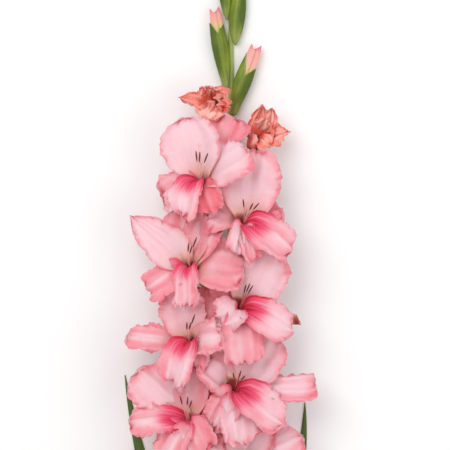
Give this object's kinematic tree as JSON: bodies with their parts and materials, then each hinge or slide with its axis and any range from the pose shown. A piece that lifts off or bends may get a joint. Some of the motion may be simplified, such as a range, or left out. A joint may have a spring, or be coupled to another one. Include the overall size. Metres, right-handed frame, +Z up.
{
  "type": "gladiolus flower spike",
  "caption": "Cut gladiolus flower spike lying on its back: ruffled pink florets in two ranks, half-open coral florets, green buds to the tip and sword leaves at the foot.",
  "frame": {"origin": "middle of the spike's box in X and Y, on the surface that it lies on", "axes": "+Y along the stem from its cut end to its tip, +Z up from the surface, the way the florets face, +X to the right"},
  "size_m": [0.1928, 0.866, 0.0867],
  "materials": {
    "stem": "satin, fine lengthwise ribs",
    "leaf": "satin, parallel veins",
    "bract": "satin, streaked green",
    "tepal": "soft sheen, pale pink to salmon with a crimson blotch",
    "coral_tepal": "soft sheen, coral",
    "stamen": "dull, dusty"
  },
  "bodies": {
    "root": {"stem": "stem", "leaf_left": "leaf", "leaf_right": "leaf", "leaf_short": "leaf", "perianth_1": "tepal", "stamens_1": "stamen", "outer_bract_1": "bract", "inner_bract_1": "bract", "perianth_2": "tepal", "stamens_2": "stamen", "outer_bract_2": "bract", "inner_bract_2": "bract", "perianth_3": "tepal", "stamens_3": "stamen", "outer_bract_3": "bract", "inner_bract_3": "bract", "perianth_4": "tepal", "stamens_4": "stamen", "outer_bract_4": "bract", "inner_bract_4": "bract", "perianth_5": "tepal", "stamens_5": "stamen", "outer_bract_5": "bract", "inner_bract_5": "bract", "perianth_6": "tepal", "stamens_6": "stamen", "outer_bract_6": "bract", "inner_bract_6": "bract", "perianth_7": "tepal", "stamens_7": "stamen", "outer_bract_7": "bract", "inner_bract_7": "bract", "perianth_8": "tepal", "stamens_8": "stamen", "outer_bract_8": "bract", "inner_bract_8": "bract", "perianth_9": "tepal", "stamens_9": "stamen", "outer_bract_9": "bract", "inner_bract_9": "bract", "corolla_left": "coral_tepal", "corolla_right": "coral_tepal", "corolla_bract_left": "bract", "corolla_bract_right": "bract", "bud_petals_left": "coral_tepal", "bud_petals_right": "coral_tepal", "bud_spathe_left": "bract", "bud_spathe_right": "bract", "tip_bud_1": "bract", "tip_bud_2": "bract", "tip_bud_3": "bract", "tip_bud_4": "bract", "tip_bud_5": "bract"}
  },
  "joints": []
}
